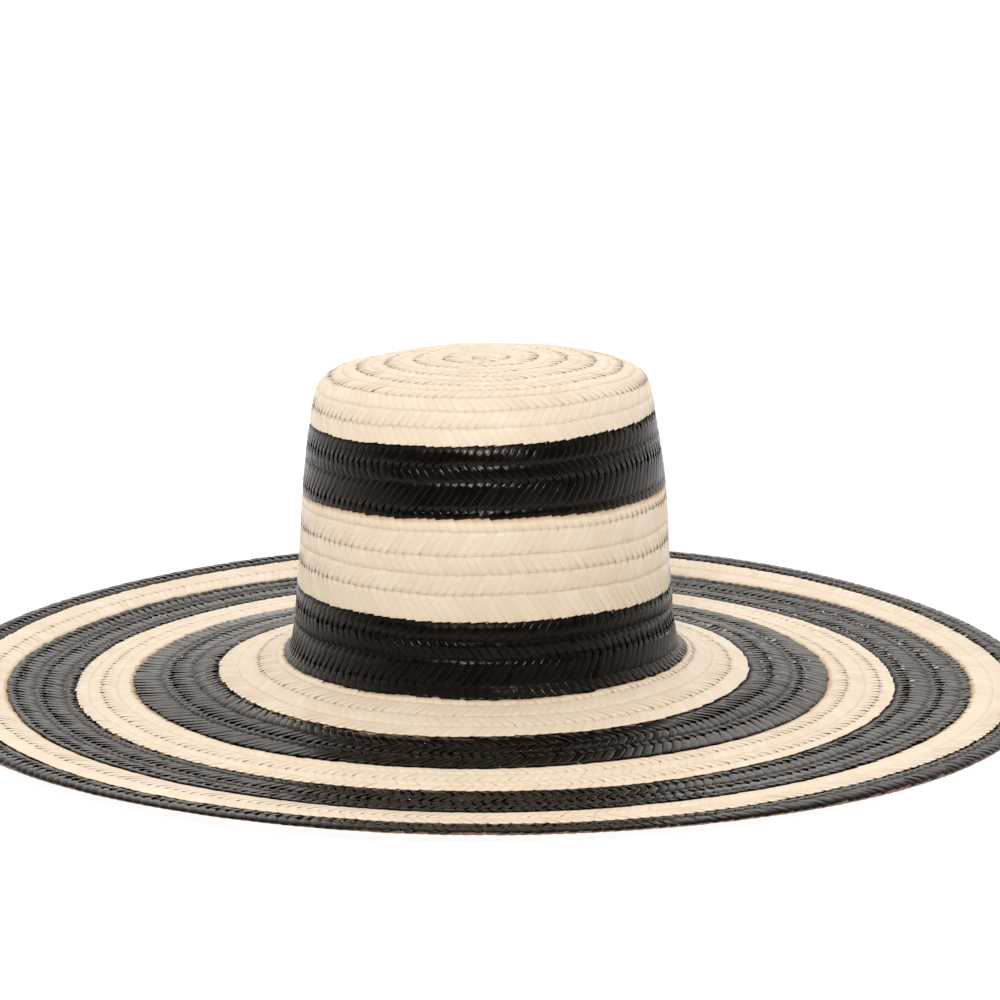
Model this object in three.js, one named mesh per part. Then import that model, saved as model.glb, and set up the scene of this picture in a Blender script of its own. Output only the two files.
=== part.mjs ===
// Wide-brimmed straw hat in black and natural stripes, millimetres, +Z up.
// Braided straw is laid in rings from the tip of the crown out to the edge of the brim.
// The outer edge of each ring lies over the start of the next one, like roof shingles.
// The origin is on the crown's axis, on the surface that the brim rests on.
import * as THREE from 'three';

// Driving sizes of the straw wall
const WALL = 2.2;
const LIP = 1.0;
const GAP = 0.35;
const LAP = 4.5;
const ROW_DEPTH = 0.6;
const EDGE_WALL = 3.0;

// Facets round the hat, and samples of the profile curve between two stations
const SIDES = 48;
const SAMPLES = 16;

// The brim waves a little from its flat ring outwards, by these amounts at its edge
const WAVE_START_RADIUS = 210;
const WAVE_SIDEWAYS = -0.9;
const WAVE_LENGTHWAYS = -0.9;
const WAVE_SADDLE = -1.6;
const WAVE_TWIST = 0.5;

// The outer surface from the tip of the crown to the edge of the brim
const PROFILE = [
  { station: 'tip_centre', radius: 0, height: 158.5 },
  { station: 'tip_middle', radius: 36, height: 158.2 },
  { station: 'tip_rim', radius: 60, height: 155.5 },
  { station: 'shoulder_top', radius: 72.5, height: 152.4 },
  { station: 'shoulder', radius: 78.8, height: 147.2 },
  { station: 'shoulder_foot', radius: 81.2, height: 139.5 },
  { station: 'upper_black_start', radius: 82.8, height: 130.4 },
  { station: 'natural_band_start', radius: 87.3, height: 97.2 },
  { station: 'lower_black_start', radius: 90.3, height: 50.6 },
  { station: 'crown_foot', radius: 92.2, height: 29.0 },
  { station: 'flare', radius: 93.7, height: 21.2 },
  { station: 'brim_start', radius: 97.0, height: 16.7 },
  { station: 'brim_slope', radius: 110, height: 12.2 },
  { station: 'inner_black_start', radius: 128.3, height: 8.0 },
  { station: 'middle_natural_start', radius: 165.9, height: 3.6 },
  { station: 'outer_black_start', radius: 196.2, height: 2.0 },
  { station: 'brim_low', radius: 212, height: 2.0 },
  { station: 'outer_natural_start', radius: 228.6, height: 3.2 },
  { station: 'edge_start', radius: 250.9, height: 5.7 },
  { station: 'edge_end', radius: 264.8, height: 6.0 },
];

// Colour and sheen of each straw
const STRAW = {
  natural: { color: 0xe8d6b8, roughness: 0.62 },
  black: { color: 0x1c1714, roughness: 0.42 },
};

// Each ring of braid: where it starts, its braid rows, and the extra points along its inside.
// A ring runs to the start of the next one, and the last ring to the edge of the brim.
const RINGS = [
  { name: 'crown_tip', straw: 'natural', from: 'tip_centre', rows: 6, inside: 6 },
  { name: 'crown_band_upper_black', straw: 'black', from: 'upper_black_start', rows: 2, inside: 0 },
  { name: 'crown_band_natural', straw: 'natural', from: 'natural_band_start', rows: 2, inside: 0 },
  { name: 'crown_band_lower_black', straw: 'black', from: 'lower_black_start', rows: 2, inside: 2 },
  { name: 'brim_ring_inner_natural', straw: 'natural', from: 'brim_start', rows: 2, inside: 1 },
  { name: 'brim_ring_inner_black', straw: 'black', from: 'inner_black_start', rows: 2, inside: 1 },
  { name: 'brim_ring_middle_natural', straw: 'natural', from: 'middle_natural_start', rows: 2, inside: 1 },
  { name: 'brim_ring_outer_black', straw: 'black', from: 'outer_black_start', rows: 2, inside: 1 },
  { name: 'brim_ring_outer_natural', straw: 'natural', from: 'outer_natural_start', rows: 2, inside: 1 },
  { name: 'brim_edge_black', straw: 'black', from: 'edge_start', rows: 1, inside: 0 },
];

// The profile as one smooth curve, with each station's distance along it
const curve = new THREE.CatmullRomCurve3(
  PROFILE.map((row) => new THREE.Vector3(row.radius, row.height, 0)),
  false,
  'centripetal',
);
curve.arcLengthDivisions = SAMPLES * (PROFILE.length - 1);
const lengths = curve.getLengths();
const totalLength = lengths[lengths.length - 1];

function distanceTo(station) {
  const index = PROFILE.findIndex((row) => row.station === station);
  return lengths[index * SAMPLES];
}

// A point at a distance along the profile and a depth below the outer surface, never under the floor
function profilePoint(distance, depth) {
  const share = THREE.MathUtils.clamp(distance / totalLength, 0, 1);
  const point = curve.getPointAt(share);
  const tangent = curve.getTangentAt(share);
  const radius = share === 0 ? 0 : point.x + tangent.y * depth;
  const height = point.y - tangent.x * depth;
  return new THREE.Vector2(radius, Math.max(height, 0));
}

// The outer surface of a ring: each braid row swells between two shallow valleys
function outerPoints(start, end, rows) {
  const points = [];
  const rowLength = (end - start) / rows;
  for (let row = 0; row < rows; row += 1) {
    const rowStart = start + row * rowLength;
    if (row > 0) {
      points.push(profilePoint(rowStart, ROW_DEPTH));
    }
    points.push(profilePoint(rowStart + rowLength / 2, 0));
  }
  return points;
}

// Points along the inside, evenly spaced from the outer end back to the inner one
function insidePoints(start, end, count) {
  const points = [];
  for (let index = count; index > 0; index -= 1) {
    const distance = start + ((end - start) * index) / (count + 1);
    points.push(profilePoint(distance, WALL));
  }
  return points;
}

// The half-lap under the ring above: the tip has none, because it starts on the axis
function innerEnd(start) {
  if (start === 0) {
    return { top: [profilePoint(start, 0)], bottom: [profilePoint(start, WALL)] };
  }
  const tongueEnd = start - LAP + GAP;
  const top = [profilePoint(tongueEnd, LIP + GAP), profilePoint(start + GAP, LIP + GAP)];
  return { top, bottom: [profilePoint(tongueEnd, WALL), top[0].clone()] };
}

// The lip over the ring below, with the step of the half-lap behind it
function lipPoints(end) {
  return [
    profilePoint(end, 0),
    profilePoint(end, LIP),
    profilePoint(end - LAP, LIP),
    profilePoint(end - LAP, WALL),
  ];
}

// The thick rounded rim of the last ring
function rimPoints(start, end) {
  return [
    profilePoint(end, EDGE_WALL / 3),
    profilePoint(end, (EDGE_WALL * 2) / 3),
    profilePoint(end - LAP, EDGE_WALL),
    profilePoint(start + LAP, EDGE_WALL),
    profilePoint(start, WALL),
  ];
}

// The closed section of a ring, from its inner end over the outer surface and back inside
function ringSection(ring, nextRing) {
  const start = distanceTo(ring.from);
  const end = nextRing ? distanceTo(nextRing.from) : totalLength;
  const inner = innerEnd(start);
  const outer = nextRing ? lipPoints(end) : rimPoints(start, end);
  return [
    ...inner.top,
    ...outerPoints(start, end, ring.rows),
    ...outer,
    ...insidePoints(start, end - LAP, ring.inside),
    ...inner.bottom,
  ];
}

// How far the brim's wave lifts a point, growing from the flat ring to the edge
function waveHeight(radius, angle) {
  const edgeRadius = PROFILE[PROFILE.length - 1].radius;
  const share = Math.max(0, (radius - WAVE_START_RADIUS) / (edgeRadius - WAVE_START_RADIUS));
  const sideways = WAVE_SIDEWAYS * Math.cos(angle) + WAVE_LENGTHWAYS * Math.sin(angle);
  const saddle = WAVE_SADDLE * Math.cos(2 * angle) + WAVE_TWIST * Math.sin(2 * angle);
  return share * (sideways + saddle);
}

// The section turned about the crown's axis, stood upright and waved, but never under the floor
function ringGeometry(ring, nextRing) {
  const section = ringSection(ring, nextRing).reverse();
  const geometry = new THREE.LatheGeometry(section, SIDES);
  geometry.rotateX(Math.PI / 2);
  const position = geometry.getAttribute('position');
  for (let index = 0; index < position.count; index += 1) {
    const x = position.getX(index);
    const y = position.getY(index);
    const lift = waveHeight(Math.hypot(x, y), Math.atan2(y, x));
    position.setZ(index, Math.max(position.getZ(index) + lift, 0));
  }
  geometry.computeVertexNormals();
  return geometry;
}

const hat = new THREE.Group();
RINGS.forEach((ring, index) => {
  const geometry = ringGeometry(ring, RINGS[index + 1]);
  const material = new THREE.MeshStandardMaterial({ ...STRAW[ring.straw], metalness: 0 });
  const mesh = new THREE.Mesh(geometry, material);
  mesh.name = ring.name;
  hat.add(mesh);
});

export default hat;
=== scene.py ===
# Wide-brimmed straw hat in black and natural stripes, braided from flat strips of straw.
# Metres and +Z up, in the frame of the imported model. The profile is given in millimetres.
import bpy
import numpy as np
from math import pi, radians
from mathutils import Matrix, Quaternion, Vector


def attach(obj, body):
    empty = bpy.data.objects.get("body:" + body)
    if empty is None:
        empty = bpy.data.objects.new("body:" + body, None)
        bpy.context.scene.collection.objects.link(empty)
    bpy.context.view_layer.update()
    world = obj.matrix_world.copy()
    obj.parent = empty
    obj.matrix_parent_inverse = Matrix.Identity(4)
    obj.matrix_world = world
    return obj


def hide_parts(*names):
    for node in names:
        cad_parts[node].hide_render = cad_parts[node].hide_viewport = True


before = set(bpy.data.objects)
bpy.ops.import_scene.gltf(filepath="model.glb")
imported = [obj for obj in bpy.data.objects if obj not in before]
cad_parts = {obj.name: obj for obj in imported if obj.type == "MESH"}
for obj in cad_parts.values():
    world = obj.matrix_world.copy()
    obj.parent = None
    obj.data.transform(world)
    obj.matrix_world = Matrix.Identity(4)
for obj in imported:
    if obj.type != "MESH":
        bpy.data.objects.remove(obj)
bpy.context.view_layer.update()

# Crown tip: natural straw, braided from its middle outwards in zones of slanted strips, and turned
# over the shoulder. Each strip floats over one zone, then dives under the strips of the next one,
# which lean the other way.
MM = 0.001
HAT_PROFILE = (
    ("tip_centre", 0.0, 158.5),
    ("tip_middle", 36.0, 158.2),
    ("tip_rim", 60.0, 155.5),
    ("shoulder_top", 72.5, 152.4),
    ("shoulder", 78.8, 147.2),
    ("shoulder_foot", 81.2, 139.5),
    ("upper_black_start", 82.8, 130.4),
    ("natural_band_start", 87.3, 97.2),
    ("lower_black_start", 90.3, 50.6),
    ("crown_foot", 92.2, 29.0),
    ("flare", 93.7, 21.2),
    ("brim_start", 97.0, 16.7),
    ("brim_slope", 110.0, 12.2),
    ("inner_black_start", 128.3, 8.0),
    ("middle_natural_start", 165.9, 3.6),
    ("outer_black_start", 196.2, 2.0),
    ("brim_low", 212.0, 2.0),
    ("outer_natural_start", 228.6, 3.2),
    ("edge_start", 250.9, 5.7),
    ("rim_top", 264.2, 6.0),
    ("rim_side", 265.4, 4.9),
    ("rim_under", 264.4, 3.7),
    ("hem_end", 257.0, 3.4),
)


def smooth_profile(stations, steps=24):
    """Distances and points along the centripetal curve through the stations."""
    points = np.array([row[1:] for row in stations])
    points = np.vstack((2 * points[0] - points[1], points, 2 * points[-1] - points[-2]))
    gaps = np.sqrt(np.linalg.norm(np.diff(points, axis=0), axis=1))
    share = np.linspace(0, 1, steps, endpoint=False)[:, None]
    spans = []
    for index in range(1, len(points) - 2):
        before, first, last, after = points[index - 1:index + 3]
        gap_in, gap, gap_out = gaps[index - 1:index + 2]
        leaving = (first - before) / gap_in - (last - before) / (gap_in + gap) + (last - first) / gap
        arriving = (last - first) / gap - (after - first) / (gap + gap_out) + (after - last) / gap_out
        leaving, arriving = leaving * gap, arriving * gap
        square = 3 * (last - first) - 2 * leaving - arriving
        cube = 2 * (first - last) + leaving + arriving
        spans.append(first + leaving * share + square * share ** 2 + cube * share ** 3)
    curve = np.vstack(spans + [points[-2:-1]])
    lengths = np.linalg.norm(np.diff(curve, axis=0), axis=1)
    distance = np.concatenate(([0.0], np.cumsum(lengths)))
    return distance, curve, dict(zip((row[0] for row in stations), distance[::steps]))


PROFILE_DISTANCE, PROFILE_POINT, STATION = smooth_profile(HAT_PROFILE)
PROFILE_RADIUS, PROFILE_LEVEL = PROFILE_POINT.T
PROFILE_TANGENT = np.gradient(PROFILE_POINT, PROFILE_DISTANCE, axis=0)
PROFILE_TANGENT /= np.linalg.norm(PROFILE_TANGENT, axis=1)[:, None]


def along_profile(values, distance):
    """One of the profile's columns, read at any distance from the middle of the tip."""
    return np.interp(distance, PROFILE_DISTANCE, values)


# How far the braid lines stray from true circles, in millimetres along the profile: all round,
# towards the right, towards the front, at the front and back alike, and in two short bulges.
LINE_DRIFT = (
    ("tip_rim", 0.0, 0.0, 0.0, 0.0, 0.0, 0.0),
    ("upper_black_start", -1.4, -2.2, 0.0, 0.5, 0.0, 0.0),
    ("natural_band_start", 1.1, -0.6, -0.6, -1.8, 0.0, 0.0),
    ("lower_black_start", 0.7, 0.7, 0.1, -1.2, 0.0, 0.0),
    ("brim_start", 1.0, 0.7, -0.1, -0.9, 0.0, 0.0),
    ("inner_black_start", -0.9, 0.7, 2.0, -0.4, 0.3, 1.9),
    ("middle_natural_start", 1.2, -0.5, -0.8, -3.2, 0.7, 2.2),
    ("outer_black_start", 0.3, -0.5, 0.9, -5.2, 2.6, 0.2),
    ("outer_natural_start", 1.0, 1.8, -1.7, -5.9, 3.7, 3.7),
    ("edge_start", -0.4, -0.2, -0.4, 0.8, 3.8, 0.8),
    ("rim_top", 0.0, 0.0, 0.0, 0.0, 0.0, 0.0),
)
DRIFT_DISTANCE = [STATION[row[0]] for row in LINE_DRIFT]
DRIFT_SHARES = tuple(zip(*(row[1:] for row in LINE_DRIFT)))
RIGHT_BULGE_ANGLE, LEFT_BULGE_ANGLE = radians(-18), radians(178)
BULGE_SPREAD = radians(24)


def bulge(angle, middle):
    """A smooth hump round the hat, one at its middle and fading out on either side."""
    away = (angle - middle + pi) % (2 * pi) - pi
    return np.exp(-(away / BULGE_SPREAD) ** 2)


def line_drift(distance, angle):
    """How far the braid strays along the profile at a place on the hat."""
    even, right, front, lengthways, right_bulge, left_bulge = (
        np.interp(distance, DRIFT_DISTANCE, share) for share in DRIFT_SHARES)
    return (even + right * np.cos(angle) - front * np.sin(angle) + lengthways * np.sin(angle) ** 2
            + right_bulge * bulge(angle, RIGHT_BULGE_ANGLE)
            + left_bulge * bulge(angle, LEFT_BULGE_ANGLE))


# Slow ripples of the braid lines and of the straw's height: millimetres, waves round the hat,
# turn per millimetre along the profile, and phase. They fade out near the middle of the tip.
LINE_RIPPLES = ((0.35, 2, 0.03, 0), (0.25, 5, -0.05, 0), (0.15, 11, 0.09, 0))
HEIGHT_RIPPLES = ((0.3, 3, 0.04, 1), (0.2, 7, -0.08, 0))
RIPPLE_FULL_RADIUS = 40.0


def ripple(table, distance, angle):
    return sum(size * np.sin(waves * angle + turn * distance + phase)
               for size, waves, turn, phase in table)


# The brim waves a little from its flat ring outwards, and its rim bulges at the right.
WAVE_START_RADIUS = 210.0
WAVE_EDGE_RADIUS = 264.8
WAVE_SIDEWAYS = -1.5
WAVE_LENGTHWAYS = -0.2
WAVE_SADDLE = -1.6
WAVE_TWIST = 0.5
RIM_BULGE = 2.8
FLOOR_CLEARANCE = 0.05
# The crown's top is a little higher at the right, and stands a little to the right of the axis.
CROWN_TILT = 0.013
TILT_START_LEVEL, TILT_RISE = 60.0, 80.0
CROWN_SHIFT = 0.8
SHIFT_START_LEVEL, SHIFT_RISE = 12.0, 110.0


def on_hat(distance, angle, height):
    """Points at a distance along the profile, an angle round the crown and a height over the straw."""
    fade = np.minimum(1, along_profile(PROFILE_RADIUS, distance) / RIPPLE_FULL_RADIUS)
    distance = distance + line_drift(distance, angle)
    distance = distance + fade * ripple(LINE_RIPPLES, distance, angle)
    height = height + fade * ripple(HEIGHT_RIPPLES, distance, angle)
    radius = along_profile(PROFILE_RADIUS, distance)
    level = along_profile(PROFILE_LEVEL, distance)
    radius = radius - along_profile(PROFILE_TANGENT[:, 1], distance) * height
    level = level + along_profile(PROFILE_TANGENT[:, 0], distance) * height
    wave_share = np.maximum((radius - WAVE_START_RADIUS) / (WAVE_EDGE_RADIUS - WAVE_START_RADIUS), 0)
    radius = radius + RIM_BULGE * wave_share * bulge(angle, RIGHT_BULGE_ANGLE)
    wave = (WAVE_SIDEWAYS * np.cos(angle) + WAVE_LENGTHWAYS * np.sin(angle)
            + WAVE_SADDLE * np.cos(2 * angle) + WAVE_TWIST * np.sin(2 * angle))
    level = np.maximum(level + wave_share * wave, FLOOR_CLEARANCE)
    tilted = np.clip((level - TILT_START_LEVEL) / TILT_RISE, 0, 1)
    shifted = CROWN_SHIFT * np.clip((level - SHIFT_START_LEVEL) / SHIFT_RISE, 0, 1)
    level = level + CROWN_TILT * tilted * radius * np.cos(angle)
    return np.stack((radius * np.cos(angle) + shifted, radius * np.sin(angle), level), axis=-1) * MM


# Sections along a strip: which braid line each is measured from (0 the zone's start, 1 its end,
# 2 the end of the zone beyond), millimetres past that line, height, share of the full width, how
# far the middle of the strip is crowned, and how far the strip is twisted as it dives.
FLOATING = np.array((
    (0, -2.2, -1.20, 1.08, 0.12, -0.3),
    (0, -0.5, -0.85, 0.92, 0.22, -0.9),
    (0, 0.9, -0.24, 0.94, 0.32, -1.0),
    (0, 2.6, 0.00, 1.04, 0.12, -0.4),
    (1, -2.6, 0.00, 1.04, 0.12, 0.4),
    (1, -0.9, -0.24, 0.94, 0.32, 1.0),
    (1, 0.5, -0.85, 0.92, 0.22, 0.9),
    (1, 2.2, -1.20, 1.08, 0.12, 0.3),
    (2, 1.8, -1.55, 1.12, 0.10, 0.0),
))
# A ring's first zone comes up steeply from under the ring before it, and its last is cut off.
FIRST = np.vstack((((0, -3.8, -1.90, 1.02, 0.10, 0.0),
                    (0, -1.2, -1.60, 0.98, 0.15, -0.5),
                    (0, 0.5, -1.15, 0.92, 0.20, -1.0),
                    (0, 2.8, -0.10, 1.04, 0.12, -0.4)), FLOATING[4:]))
LAST = np.vstack((FLOATING[:4], ((1, -3.0, 0.02, 1.04, 0.13, 0.2),
                                 (1, -2.0, 0.02, 1.03, 0.16, 0.25),
                                 (1, -1.2, 0.00, 1.00, 0.18, 0.3),
                                 (1, -0.5, -0.10, 0.96, 0.18, 0.3),
                                 (1, -0.05, -0.30, 0.90, 0.16, 0.3))))
# The ply under a ring's first zone lies flat, in steps close enough to follow the profile.
UNDER_HEIGHT = -1.55
UNDER_STEP = 0.8
UNDER = np.array([(0, -3.5, -2.15, 1.0, 0.1, 0.0)]
                 + [(0, UNDER_STEP * step, UNDER_HEIGHT, 1.12, 0.1, 0.0) for step in range(7)]
                 + [(1, 1.8, UNDER_HEIGHT, 1.12, 0.1, 0.0)])

# How strips lie: how much they narrow, twist and sink where they dive, which opens dark slits, how
# unevenly they sink, how crowned they are, how raggedly they dive, in millimetres, and how unevenly
# they roll.
TIP_LAY = {"pinch": 0.3, "twist": 0.04, "depth": 0.55, "heave": 0.1,
           "crown": 0.5, "ragged": 0.3, "uneven": 0.04}
CROWN_NATURAL_LAY = {"pinch": 0.5, "twist": 0.10, "depth": 0.65, "heave": 0.1,
                     "crown": 0.5, "ragged": 0.2, "uneven": 0.04}

CORNER_ACROSS = np.array((-1.0, 0.0, 1.0, 0.0))
UNDERSIDE_CORNER = 3
FULL_WIDTH = 1.04
STRAW_THICKNESS = 0.35
LEAN_SLOPE = 0.70
SECTION_SLANT = 0.12
ROLL = 0.05
# A zone narrower than this draws its sections together, so that they stay in order.
ROOMY_ZONE = 6.5
MIDDLE_RADIUS_LEAST, STRIP_RADIUS_LEAST, DISTANCE_LEAST = 3.0, 0.2, 0.25
# Chance differences between strips: place along the profile, bow, share of a strip's pitch, height,
# share of the twist, and how often and how far a strip is slimmer. Each starts anywhere in its grain.
PLACE_CHANCE, BOW_CHANCE, PITCH_CHANCE, HEIGHT_CHANCE, TWIST_CHANCE = 0.15, 0.06, 0.03, 0.04, 0.4
SLIM_CHANCE, SLIM_BY = 0.05, 0.16
GRAIN_START_MOST = 900
# The height below which a strip counts as sunk, and how fast it gets there, per millimetre
SUNK_FROM, SUNK_RATE = -0.55, 2


def lay_strips(lines, lean, turn, count, sections, rng, lay):
    """One zone of strips side by side round the hat: their corner points and strand coordinates."""
    start, end, _ = lines
    from_line, past_line, level, width, crowned, dive_twist = sections.T
    middle_radius = max(along_profile(PROFILE_RADIUS, (start + end) / 2), MIDDLE_RADIUS_LEAST)
    squeeze = min(1.0, (end - start) / ROOMY_ZONE)
    inwards = np.where(from_line == 0, past_line > 0, past_line < 0)
    place = np.array(lines)[from_line.astype(int)] + past_line * np.where(inwards, squeeze, 1.0)

    def chance(size):
        return rng.uniform(-size, size, count)[:, None, None]

    def by_section(values):
        return values[None, :, None]

    floating = by_section(inwards)
    ragged = np.where(by_section(from_line == 0), chance(lay["ragged"]), chance(lay["ragged"]))
    distance = np.broadcast_to(by_section(place), (count, len(sections), 4)) + chance(PLACE_CHANCE)
    distance = np.maximum(distance + ragged * floating, DISTANCE_LEAST)
    radius = np.maximum(along_profile(PROFILE_RADIUS, distance), STRIP_RADIUS_LEAST)
    slimmer = np.where(rng.random(count) < SLIM_CHANCE, SLIM_BY, 0.0)[:, None, None]
    share = by_section(FULL_WIDTH - (FULL_WIDTH - width) * lay["pinch"])
    half_width = pi * radius / count * share * np.where(floating, 1 - lay["pinch"] * slimmer, 1.0)
    across = CORNER_ACROSS * half_width
    bow = np.clip((distance - start) * (end - distance) / (end - start), 0, None) * chance(BOW_CHANCE)
    angle = (np.arange(count)[:, None, None] + chance(PITCH_CHANCE)) * 2 * pi / count + turn
    angle = angle - lean * LEAN_SLOPE * (distance - start + bow) / middle_radius + across / radius
    crown = by_section(crowned) * (CORNER_ACROSS == 0) * lay["crown"]
    crown = np.where(np.arange(4) == UNDERSIDE_CORNER, -STRAW_THICKNESS, crown)
    sink = np.where(floating, lay["depth"], 1.0) * (1 + chance(lay["heave"]))
    height = by_section(level) * sink + crown + chance(HEIGHT_CHANCE)
    twist = lay["twist"] * (1 + chance(TWIST_CHANCE))
    roll = ROLL + chance(lay["uneven"]) + twist * by_section(dive_twist)
    height = height + lean * roll * CORNER_ACROSS
    points = on_hat(distance + SECTION_SLANT * lean * across, angle, height)
    along = distance - start + rng.uniform(0, GRAIN_START_MOST, count)[:, None, None]
    tone = rng.random(count)[:, None, None]
    # How deep the strip lies where it dives; the materials paint shade and add roughness from it.
    sunk = by_section(np.clip((SUNK_FROM - level) * SUNK_RATE, 0, 1))
    return points, np.stack(np.broadcast_arrays(along, CORNER_ACROSS, tone, sunk), -1)


def strip_mesh(name, zones):
    """One joined mesh of closed strips, smooth along each strip and sharp at its edges."""
    points = np.concatenate([zone[0] for zone in zones])
    strand = np.concatenate([zone[1] for zone in zones]).astype(np.float32)
    strips, sections = points.shape[:2]
    corner = np.arange(4)
    following = (corner + 1) % 4
    base = (np.arange(strips * sections) * 4).reshape(strips, sections)
    near, far = base[:, :-1, None], base[:, 1:, None]
    sides = np.stack((near + corner, far + corner, far + following, near + following), -1)
    caps = np.concatenate((base[:, :1] + corner, base[:, -1:] + corner[::-1]))
    faces = np.concatenate((sides.reshape(-1, 4), caps))
    mesh = bpy.data.meshes.new(name)
    mesh.from_pydata(points.reshape(-1, 3).tolist(), [], faces.tolist())
    mesh.polygons.foreach_set("use_smooth", np.ones(len(mesh.polygons), dtype=bool))
    ends = np.empty(len(mesh.edges) * 2, dtype=np.int32)
    mesh.edges.foreach_get("vertices", ends)
    ends = ends.reshape(-1, 2)
    place, section = ends % 4, ends // 4
    lengthways = (place[:, 0] == place[:, 1]) & (place[:, 0] % 2 == 0)
    at_cap = (section[:, 0] == section[:, 1]) & np.isin(section[:, 0] % sections, (0, sections - 1))
    sharp = mesh.attributes.new("sharp_edge", "BOOLEAN", "EDGE")
    sharp.data.foreach_set("value", lengthways | at_cap)
    coordinate = mesh.attributes.new("strand", "FLOAT_VECTOR", "POINT")
    coordinate.data.foreach_set("vector", strand[..., :3].ravel())
    sunk = mesh.attributes.new("sunk", "FLOAT", "POINT")
    sunk.data.foreach_set("value", strand[..., 3].ravel())
    return mesh


def place_strips(name, zones, straw, solid=None):
    """Zones of strips as one piece, which stands for the solid of that name if there is one."""
    mesh = strip_mesh(name, zones)
    mesh.materials.append(straw)
    piece = bpy.data.objects.new(name, mesh)
    bpy.context.scene.collection.objects.link(piece)
    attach(piece, "root")
    if solid:
        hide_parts(solid)


def add_node(tree, kind, inputs=None, **settings):
    """A shader node with its settings, and its inputs set or linked."""
    made = tree.nodes.new(kind)
    for key, value in settings.items():
        setattr(made, key, value)
    for key, value in (inputs or {}).items():
        if isinstance(value, bpy.types.NodeSocket):
            tree.links.new(value, made.inputs[key])
        else:
            made.inputs[key].default_value = value
    return made


def maths(tree, operation, first, second):
    return add_node(tree, "ShaderNodeMath", {0: first, 1: second}, operation=operation).outputs[0]


def noise(tree, place, scale, detail, roughness):
    return add_node(tree, "ShaderNodeTexNoise", {
        "Vector": place, "Scale": scale, "Detail": detail, "Roughness": roughness}).outputs[0]


FIBRE_WIDTH = 0.2
FIBRE_LENGTH = 8.0
PATCHES_ALONG, PATCHES_ACROSS = 0.11, 0.4
CLUMPS_PER_METRE = 38.0
STRIP_SEED_SPREAD = 61.0
# Strip edges darken from this share of the half width outwards: dust, and painted shade in the creases
# between strips.
EDGE_FROM = 0.72
TURN_DOWN_POWER = 5.0


def straw_grain_group():
    """Fibres, patches and edges of a straw strip, from its own length and width coordinates, and how far
    it is sunk. The edge and sunk masks carry painted shade.
    """
    tree = bpy.data.node_groups.new("straw_grain", "ShaderNodeTree")
    for label, usual in (("Fibre Width", FIBRE_WIDTH), ("Fibre Length", FIBRE_LENGTH), ("Rounding", 1.0)):
        socket = tree.interface.new_socket(label, in_out="INPUT", socket_type="NodeSocketFloat")
        socket.default_value = usual
    for label in ("Fibre", "Patch", "Clump", "Tone", "Edge Dust And Shade", "Sunk", "Relief"):
        tree.interface.new_socket(label, in_out="OUTPUT", socket_type="NodeSocketFloat")
    given = add_node(tree, "NodeGroupInput").outputs
    strand = add_node(tree, "ShaderNodeAttribute", attribute_name="strand").outputs["Vector"]
    sunk = add_node(tree, "ShaderNodeAttribute", attribute_name="sunk").outputs["Fac"]
    along, across, tone = add_node(tree, "ShaderNodeSeparateXYZ", {0: strand}).outputs
    strip_seed = maths(tree, "MULTIPLY", tone, STRIP_SEED_SPREAD)
    fibre_place = add_node(tree, "ShaderNodeCombineXYZ", {
        0: maths(tree, "DIVIDE", along, given["Fibre Length"]),
        1: maths(tree, "DIVIDE", across, given["Fibre Width"]),
        2: strip_seed}).outputs[0]
    fibre = noise(tree, fibre_place, scale=1.0, detail=3.0, roughness=0.6)
    patch_place = add_node(tree, "ShaderNodeCombineXYZ", {
        0: maths(tree, "MULTIPLY", along, PATCHES_ALONG),
        1: maths(tree, "MULTIPLY", across, PATCHES_ACROSS),
        2: strip_seed}).outputs[0]
    patch = noise(tree, patch_place, scale=1.0, detail=2.0, roughness=0.5)
    clump_place = add_node(tree, "ShaderNodeTexCoord").outputs["Object"]
    clump = noise(tree, clump_place, scale=CLUMPS_PER_METRE, detail=2.0, roughness=0.5)
    # The dark edge mask: dust, and painted shade between the strips.
    from_middle = maths(tree, "ABSOLUTE", across, 0.0)
    edge = add_node(tree, "ShaderNodeMapRange", {
        "Value": from_middle, "From Min": EDGE_FROM, "From Max": 1.0},
        interpolation_type="SMOOTHSTEP").outputs[0]
    turned_down = maths(tree, "POWER", from_middle, TURN_DOWN_POWER)
    rounding = maths(tree, "SUBTRACT", 1.0, turned_down)
    relief = maths(tree, "ADD", maths(tree, "MULTIPLY", rounding, given["Rounding"]), fibre)
    add_node(tree, "NodeGroupOutput", {
        "Fibre": fibre, "Patch": patch, "Clump": clump, "Tone": tone, "Edge Dust And Shade": edge, "Sunk": sunk,
        "Relief": relief})
    return tree


STRAW_GRAIN = straw_grain_group()
# How much each kind of grain deepens the straw's shade, and the range of their sum
FIBRE_SHADE, PATCH_SHADE, CLUMP_SHADE = 0.5, 0.4, 0.7
SHADE_LOW, SHADE_HIGH = 0.45, 1.15
STRIP_SHADE_LOW, STRIP_SHADE_HIGH = 0.3, 0.7
# Painted shade where a strip dives under the next zone: how much darker its colour is there, and how much
# rougher it is
SUNK_PAINTED_SHADE = 0.85
SUNK_ROUGHNESS = 0.5
STRIP_GLOSS, FIBRE_GLOSS = 0.6, 0.8
GLOSS_LOW, GLOSS_HIGH = 0.25, 1.1


def weighed(tree, parts):
    """The sum of a few values, each times its weight."""
    total = maths(tree, "MULTIPLY", *parts[0])
    for value, weight in parts[1:]:
        total = maths(tree, "ADD", total, maths(tree, "MULTIPLY", value, weight))
    return total


def mix_colours(tree, share, first, second):
    """Two colours blended by a share that changes over the surface."""
    return add_node(tree, "ShaderNodeMix", {0: share, 6: first, 7: second}, data_type="RGBA").outputs[2]


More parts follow.
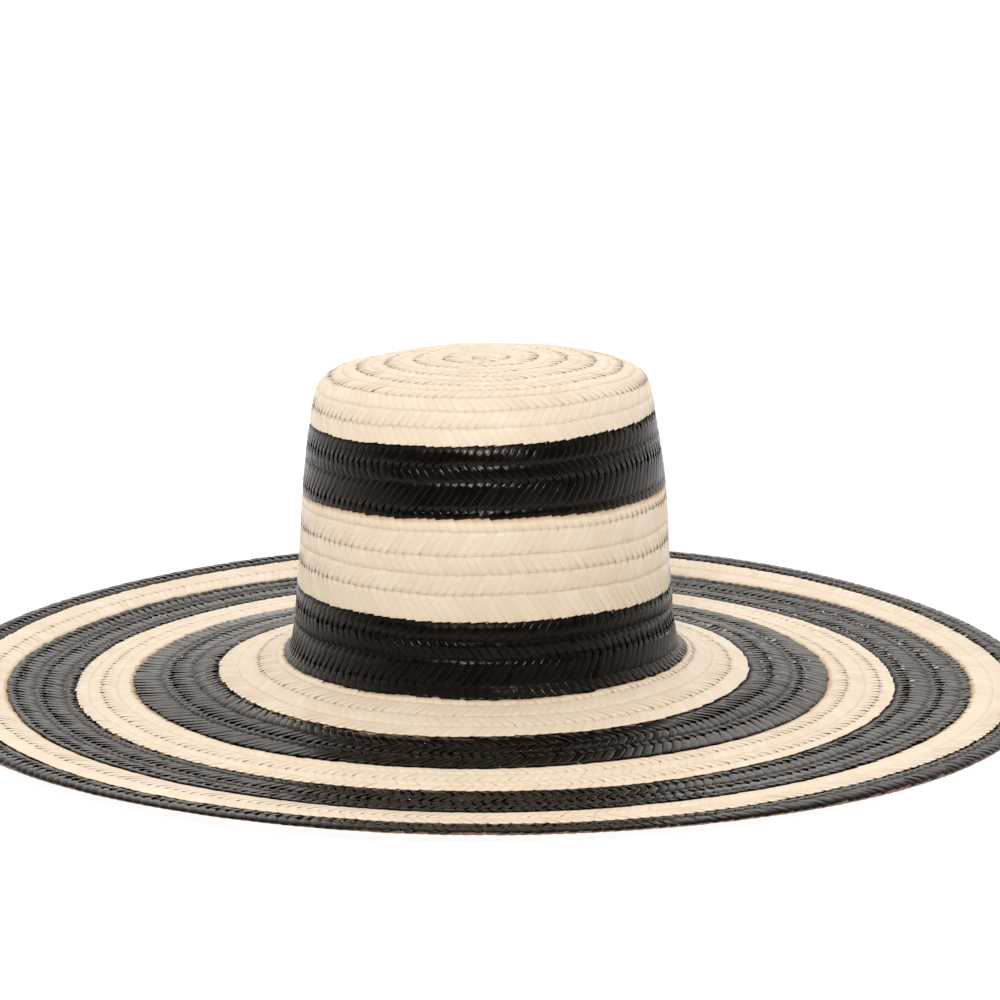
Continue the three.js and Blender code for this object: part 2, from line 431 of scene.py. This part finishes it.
def straw_material(name, pale, deep, dust_and_shade_colour, look):
    """Straw in two shades along and between its strips, darker at their edges from dust and painted shade,
    and with painted shade where the strips dive.
    """
    material = bpy.data.materials.new(name)
    material.use_nodes = True
    tree = material.node_tree
    tree.nodes.clear()
    variation = look["strip_variation"]
    grain = add_node(tree, "ShaderNodeGroup", {"Rounding": look["rounding"]},
                     node_tree=STRAW_GRAIN).outputs
    shade = weighed(tree, ((grain["Tone"], variation), (grain["Fibre"], FIBRE_SHADE),
                           (grain["Patch"], PATCH_SHADE), (grain["Clump"], CLUMP_SHADE)))
    shade = add_node(tree, "ShaderNodeMapRange", {
        "Value": shade, "From Min": SHADE_LOW + variation * STRIP_SHADE_LOW,
        "From Max": SHADE_HIGH + variation * STRIP_SHADE_HIGH}).outputs[0]
    # Dust and painted shade at the strip edges, and painted shade where strips dive, pull the colour
    # towards the darkest one.
    edge = maths(tree, "MAXIMUM", maths(tree, "MULTIPLY", grain["Edge Dust And Shade"], look["edge_dust_and_shade"]),
                 maths(tree, "MULTIPLY", grain["Sunk"], SUNK_PAINTED_SHADE))
    colour = mix_colours(tree, edge, mix_colours(tree, shade, pale, deep), dust_and_shade_colour)
    gloss = weighed(tree, ((grain["Tone"], STRIP_GLOSS), (grain["Fibre"], FIBRE_GLOSS)))
    roughness = add_node(tree, "ShaderNodeMapRange", {
        "Value": gloss, "From Min": GLOSS_LOW, "From Max": GLOSS_HIGH,
        "To Min": look["roughness"][0], "To Max": look["roughness"][1]}).outputs[0]
    roughness = maths(tree, "ADD", roughness, maths(tree, "MULTIPLY", grain["Sunk"], SUNK_ROUGHNESS))
    relief = add_node(tree, "ShaderNodeBump", {
        "Height": grain["Relief"], "Strength": 1.0, "Distance": look["relief"] * MM}).outputs[0]
    shader = add_node(tree, "ShaderNodeBsdfPrincipled", {
        "Base Color": colour, "Roughness": roughness, "Normal": relief,
        "Specular IOR Level": look["specular"], "Specular Tint": look["tint"]})
    add_node(tree, "ShaderNodeOutputMaterial", {"Surface": shader.outputs[0]})
    return material


WHITE = (1, 1, 1, 1)
# Natural straw: pale and deep tones, and the colour of its dark edges and dives, which is dust and painted
# shade.
NATURAL_STRAW = straw_material(
    "natural_straw", (0.91, 0.825, 0.695, 1), (0.80, 0.66, 0.49, 1), (0.60, 0.42, 0.25, 1),
    {"strip_variation": 0.25, "edge_dust_and_shade": 0.25, "roughness": (0.32, 0.58), "specular": 0.5,
     "tint": WHITE, "relief": 0.22, "rounding": 0.12})

RISING, FALLING = 1, -1
TIP_ROSETTE_RADIUS = 5.5
TIP_ZONE_COUNT = 10
TIP_TOP_LENGTH = 74.0
SIDE_ZONE_COUNT = 3
STRIP_PITCH = 4.1
FEWEST_STRIPS = 12


def tip_zones(rng):
    """The rosette at the middle, the zones of the flat top and the wider ones down the side.
    The last line stands twice, because no zone lies beyond the last one."""
    end = STATION["upper_black_start"]
    lines = np.concatenate(([0.0], np.linspace(TIP_ROSETTE_RADIUS, TIP_TOP_LENGTH, TIP_ZONE_COUNT + 1),
                            np.linspace(TIP_TOP_LENGTH, end, SIDE_ZONE_COUNT + 1)[1:], [end]))
    last_zone = len(lines) - 3
    laid = []
    for index in range(last_zone + 1):
        lean = FALLING if (last_zone - index) % 2 == 0 else RISING
        radius = along_profile(PROFILE_RADIUS, (lines[index] + lines[index + 1]) / 2)
        count = max(FEWEST_STRIPS, round(2 * pi * radius / STRIP_PITCH))
        kind = LAST if index == last_zone else FLOATING
        lay = TIP_LAY if index <= TIP_ZONE_COUNT else CROWN_NATURAL_LAY
        laid.append(lay_strips(lines[index:index + 3], lean, 0.0, count, kind, rng, lay))
    return laid


place_strips("crown_tip_strips", tip_zones(np.random.default_rng(1)), NATURAL_STRAW,
             "crown_tip")

# Upper black band of the crown: the same strips in straw dyed black, which is glossier. They are
# braided on from under the cut ends of the tip's last strips.
# The third colour is that of the dark edges and dives: dust and painted shade.
BLACK_STRAW = straw_material(
    "black_straw", (0.0012, 0.0007, 0.0005, 1), (0.006, 0.0035, 0.002, 1), (0.001, 0.0006, 0.0004, 1),
    {"strip_variation": 0.45, "edge_dust_and_shade": 0.5, "roughness": (0.06, 0.24), "specular": 0.2,
     "tint": (1, 0.92, 0.84, 1), "relief": 0.09, "rounding": 1.8})
CROWN_BLACK_LAY = {"pinch": 0.8, "twist": 0.22, "depth": 1.0, "heave": 0.25,
                   "crown": 0.9, "ragged": 0.25, "uneven": 0.06}
CROWN_STRIPS = 132


def braid_ring(start, end, zones, strips, seed, lay):
    """The zones of a ring between two stations, each given as its lean and its share of the width.
    The ply under the first zone is laid first. No zone lies beyond the last one."""
    rng = np.random.default_rng(seed)
    start, end = STATION[start], STATION[end]
    shares = np.array([share for _, share in zones])
    lines = start + (end - start) * np.concatenate(([0.0], np.cumsum(shares) / shares.sum()))
    lines = np.append(lines, end)
    turn = 0.0
    laid = [lay_strips(lines[:3], -zones[0][0], 0.5 / strips, strips, UNDER, rng, lay)]
    for index, (lean, _) in enumerate(zones):
        kind = FIRST if index == 0 else LAST if index == len(zones) - 1 else FLOATING
        laid.append(lay_strips(lines[index:index + 3], lean, turn, strips, kind, rng, lay))
        middle_radius = along_profile(PROFILE_RADIUS, (lines[index] + lines[index + 1]) / 2)
        turn -= lean * LEAN_SLOPE * (lines[index + 1] - lines[index]) / middle_radius
    return laid


place_strips("crown_band_upper_black_strips",
             braid_ring("upper_black_start", "natural_band_start",
                        ((RISING, 20.5), (FALLING, 17), (RISING, 27.5), (FALLING, 8)),
                        strips=CROWN_STRIPS, seed=2, lay=CROWN_BLACK_LAY),
             BLACK_STRAW, "crown_band_upper_black")

# Natural band of the crown: natural straw again, in five zones. Its first strips carry on the slant
# of the black ones that cover them.
place_strips("crown_band_natural_strips",
             braid_ring("natural_band_start", "lower_black_start",
                        ((FALLING, 13), (RISING, 24), (FALLING, 18.5), (RISING, 20.5), (FALLING, 27)),
                        strips=CROWN_STRIPS, seed=3, lay=CROWN_NATURAL_LAY),
             NATURAL_STRAW, "crown_band_natural")

# Lower black band of the crown: black straw, which flares at its foot. Its cut ends lie over the
# start of the brim.
place_strips("crown_band_lower_black_strips",
             braid_ring("lower_black_start", "brim_start",
                        ((RISING, 21), (FALLING, 19), (RISING, 25), (FALLING, 13)),
                        strips=CROWN_STRIPS, seed=4, lay=CROWN_BLACK_LAY),
             BLACK_STRAW, "crown_band_lower_black")

# Inner natural ring of the brim: natural straw, braided outwards from under the foot of the crown.
# The brim's natural strips lie closer to each other than the crown's.
BRIM_NATURAL_LAY = {"pinch": 0.35, "twist": 0.05, "depth": 0.75, "heave": 0.1,
                    "crown": 0.5, "ragged": 0.3, "uneven": 0.03}
place_strips("brim_ring_inner_natural_strips",
             braid_ring("brim_start", "inner_black_start",
                        ((FALLING, 8), (RISING, 19), (FALLING, 19), (RISING, 19)),
                        strips=160, seed=5, lay=BRIM_NATURAL_LAY),
             NATURAL_STRAW, "brim_ring_inner_natural")

# Inner black ring of the brim: black straw, braided on from under the natural ring. The brim's
# black strips lie more unevenly than any others.
BRIM_BLACK_LAY = {"pinch": 1.0, "twist": 0.30, "depth": 1.0, "heave": 0.25,
                  "crown": 1.1, "ragged": 0.5, "uneven": 0.18}
place_strips("brim_ring_inner_black_strips",
             braid_ring("inner_black_start", "middle_natural_start",
                        ((FALLING, 24), (RISING, 20.5), (FALLING, 10), (RISING, 26.5)),
                        strips=206, seed=6, lay=BRIM_BLACK_LAY),
             BLACK_STRAW, "brim_ring_inner_black")

# Middle natural ring of the brim: natural straw, in four zones of nearly equal width. Strips are
# added at its start, because the ring is longer round than the one inside it.
place_strips("brim_ring_middle_natural_strips",
             braid_ring("middle_natural_start", "outer_black_start",
                        ((FALLING, 18), (RISING, 17), (FALLING, 14), (RISING, 13.5)),
                        strips=246, seed=7, lay=BRIM_NATURAL_LAY),
             NATURAL_STRAW, "brim_ring_middle_natural")

# Outer black ring of the brim: black straw, in five zones. The brim rests on the surface under
# this ring.
place_strips("brim_ring_outer_black_strips",
             braid_ring("outer_black_start", "outer_natural_start",
                        ((FALLING, 13.5), (RISING, 20.5), (FALLING, 10), (RISING, 18), (FALLING, 9.5)),
                        strips=290, seed=8, lay=BRIM_BLACK_LAY),
             BLACK_STRAW, "brim_ring_outer_black")

# Outer natural ring of the brim: natural straw, in two zones. It is the last ring that is braided
# on, and it starts to turn up a little.
place_strips("brim_ring_outer_natural_strips",
             braid_ring("outer_natural_start", "edge_start", ((RISING, 17.5), (FALLING, 16)),
                        strips=320, seed=9, lay=BRIM_NATURAL_LAY),
             NATURAL_STRAW, "brim_ring_outer_natural")

# Black edge of the brim: two narrow rows of black straw, laid on the last ring. Their cut ends are
# folded down at the rim, and their lowest ply is laid first, like that of every ring.
EDGE_STRIPS = 350
EDGE_ROW_WIDTH = 6.8
EDGE_ROW_RADIUS = 254
RIM_TRIM = 0.1


def edge_zones(rng):
    """The two rows of the black edge, out to the rim."""
    start, rim = STATION["edge_start"], STATION["rim_side"] - RIM_TRIM
    middle = start + EDGE_ROW_WIDTH
    turn = -LEAN_SLOPE * (middle - start) / EDGE_ROW_RADIUS
    return [
        lay_strips((start, middle, rim), FALLING, 0.0, EDGE_STRIPS, UNDER, rng, BRIM_BLACK_LAY),
        lay_strips((start, middle, rim), RISING, 0.0, EDGE_STRIPS, FIRST, rng, BRIM_BLACK_LAY),
        lay_strips((middle, rim, rim), FALLING, turn, EDGE_STRIPS, LAST, rng, BRIM_BLACK_LAY),
    ]


place_strips("brim_edge_black_strips", edge_zones(np.random.default_rng(10)), BLACK_STRAW,
             "brim_edge_black")

# Hem under the rim: a narrow fold of natural straw, sewn along under the black edge and coloured a dark
# brown, a copy of the natural straw with painted shade. It shows as a thin line below it.
HEM_SHADED_STRAW = straw_material(
    "hem_straw_painted_shade", (0.23, 0.125, 0.075, 1), (0.17, 0.088, 0.05, 1), (0.12, 0.062, 0.034, 1),
    {"strip_variation": 0.4, "edge_dust_and_shade": 0.3, "roughness": (0.35, 0.6), "specular": 0.4,
     "tint": WHITE, "relief": 0.16, "rounding": 0.3})
HEM_STRIPS = 350
HEM_START, HEM_STEP = -2.4, 1.3
HEM_FOLD = np.array([(0, HEM_START + HEM_STEP * step, -0.35, 1.06, 0.25, 0.0) for step in range(4)]
                    + [(1, -3.0, -0.35, 1.06, 0.20, 0.0), (1, 0.0, -0.45, 1.0, 0.20, 0.0)])
HEM_LINES = (STATION["rim_side"], STATION["hem_end"], STATION["hem_end"])
place_strips("brim_edge_hem",
             [lay_strips(HEM_LINES, RISING, 0.0, HEM_STRIPS, HEM_FOLD, np.random.default_rng(11),
                         BRIM_NATURAL_LAY)],
             HEM_SHADED_STRAW)

# Floor: a plain pale studio floor, wide enough to fill the view behind the hat. It glows white
# around the hat, and its glow fades towards the front, so the black straw has a dark side to mirror.
FLOOR_HALF = 40.0
FLOOR_GREY = (0.34, 0.34, 0.34, 1)
FLOOR_GLOW, FLOOR_LIT_FROM = 0.93, -0.45
FLOOR_DARK_GLOW, FLOOR_DARK_FROM = 0.12, -1.2
floor_mesh = bpy.data.meshes.new("floor")
floor_mesh.from_pydata([(-FLOOR_HALF, -FLOOR_HALF, 0), (FLOOR_HALF, -FLOOR_HALF, 0),
                        (FLOOR_HALF, FLOOR_HALF, 0), (-FLOOR_HALF, FLOOR_HALF, 0)], [], [(0, 1, 2, 3)])
floor_material = bpy.data.materials.new("floor")
floor_material.use_nodes = True
floor_tree = floor_material.node_tree
floor_shader = floor_tree.nodes["Principled BSDF"]
floor_shader.inputs["Base Color"].default_value = FLOOR_GREY
floor_shader.inputs["Roughness"].default_value = 0.9
floor_shader.inputs["Specular IOR Level"].default_value = 0.0
floor_shader.inputs["Emission Color"].default_value = WHITE
floor_place = add_node(floor_tree, "ShaderNodeTexCoord").outputs["Object"]
floor_front = add_node(floor_tree, "ShaderNodeSeparateXYZ", {0: floor_place}).outputs[1]
floor_field = add_node(floor_tree, "ShaderNodeMapRange", {
    "Value": floor_front, "From Min": FLOOR_DARK_FROM, "From Max": FLOOR_LIT_FROM,
    "To Min": FLOOR_DARK_GLOW, "To Max": FLOOR_GLOW}, interpolation_type="SMOOTHSTEP").outputs[0]
seen = add_node(floor_tree, "ShaderNodeLightPath").outputs["Is Camera Ray"]
floor_glow = maths(floor_tree, "MAXIMUM", floor_field, maths(floor_tree, "MULTIPLY", seen, FLOOR_GLOW))
floor_tree.links.new(floor_glow, floor_shader.inputs["Emission Strength"])
floor_mesh.materials.append(floor_material)
floor = bpy.data.objects.new("floor", floor_mesh)
bpy.context.scene.collection.objects.link(floor)

# Studio light: a soft white surround, brightest behind the hat and overhead and dim on the camera's
# side, with one softbox high in front.
FRONT_LIGHT = 0.12
BACK_LIGHT, BACK_FROM, BACK_FULL = 1.16, -0.7, 0.7
TOP_LIGHT, TOP_FROM, TOP_FULL = 0.22, 0.1, 0.9
SURROUND_COLOUR = (1, 0.955, 0.91, 1)
KEY_PLACE = Vector((-0.1, -1.5, 1.08))
KEY_AIM = Vector((0, 0, 0.08))
KEY_SIDE = 0.42
KEY_POWER = 18
KEY_COLOUR = (1, 0.95, 0.88)
world = bpy.data.worlds.new("studio")
bpy.context.scene.world = world
world.use_nodes = True
world_tree = world.node_tree
world_tree.nodes.clear()
direction = add_node(world_tree, "ShaderNodeTexCoord").outputs["Generated"]
direction_parts = add_node(world_tree, "ShaderNodeSeparateXYZ", {0: direction}).outputs
behind = add_node(world_tree, "ShaderNodeMapRange", {
    "Value": direction_parts[1], "From Min": BACK_FROM, "From Max": BACK_FULL, "To Max": BACK_LIGHT},
    interpolation_type="SMOOTHSTEP").outputs[0]
overhead = add_node(world_tree, "ShaderNodeMapRange", {
    "Value": direction_parts[2], "From Min": TOP_FROM, "From Max": TOP_FULL, "To Max": TOP_LIGHT},
    interpolation_type="SMOOTHSTEP").outputs[0]
strength = maths(world_tree, "ADD", maths(world_tree, "ADD", behind, overhead), FRONT_LIGHT)
background = add_node(world_tree, "ShaderNodeBackground", {"Color": SURROUND_COLOUR, "Strength": strength})
add_node(world_tree, "ShaderNodeOutputWorld", {"Surface": background.outputs[0]})
bpy.context.scene.view_settings.view_transform = "Standard"
key_data = bpy.data.lights.new("key_softbox", "AREA")
key_data.shape = "RECTANGLE"
key_data.size = KEY_SIDE
key_data.size_y = KEY_SIDE
key_data.energy = KEY_POWER
key_data.color = KEY_COLOUR
key = bpy.data.objects.new("key_softbox", key_data)
key.location = KEY_PLACE
key.rotation_mode = "QUATERNION"
key.rotation_quaternion = (KEY_AIM - KEY_PLACE).to_track_quat("-Z", "Y")
bpy.context.scene.collection.objects.link(key)

# Camera: a long lens at about 15 degrees above the floor, a metre and a half in front of the hat
# and rolled by a third of a degree.
CAMERA_PLACE = Vector((0.0, -1.4967, 0.4073))
CAMERA_AIM = Vector((0.0083, 0.0, 0.0887))
CAMERA_ROLL = radians(-0.334)
camera_data = bpy.data.cameras.new("camera")
camera_data.sensor_width = 36
camera_data.lens = 114.25
camera_data.clip_end = 200
camera = bpy.data.objects.new("camera", camera_data)
camera.location = CAMERA_PLACE
camera.rotation_mode = "QUATERNION"
camera.rotation_quaternion = ((CAMERA_AIM - CAMERA_PLACE).to_track_quat("-Z", "Y")
                              @ Quaternion((0, 0, 1), CAMERA_ROLL))
bpy.context.scene.collection.objects.link(camera)
bpy.context.scene.camera = camera
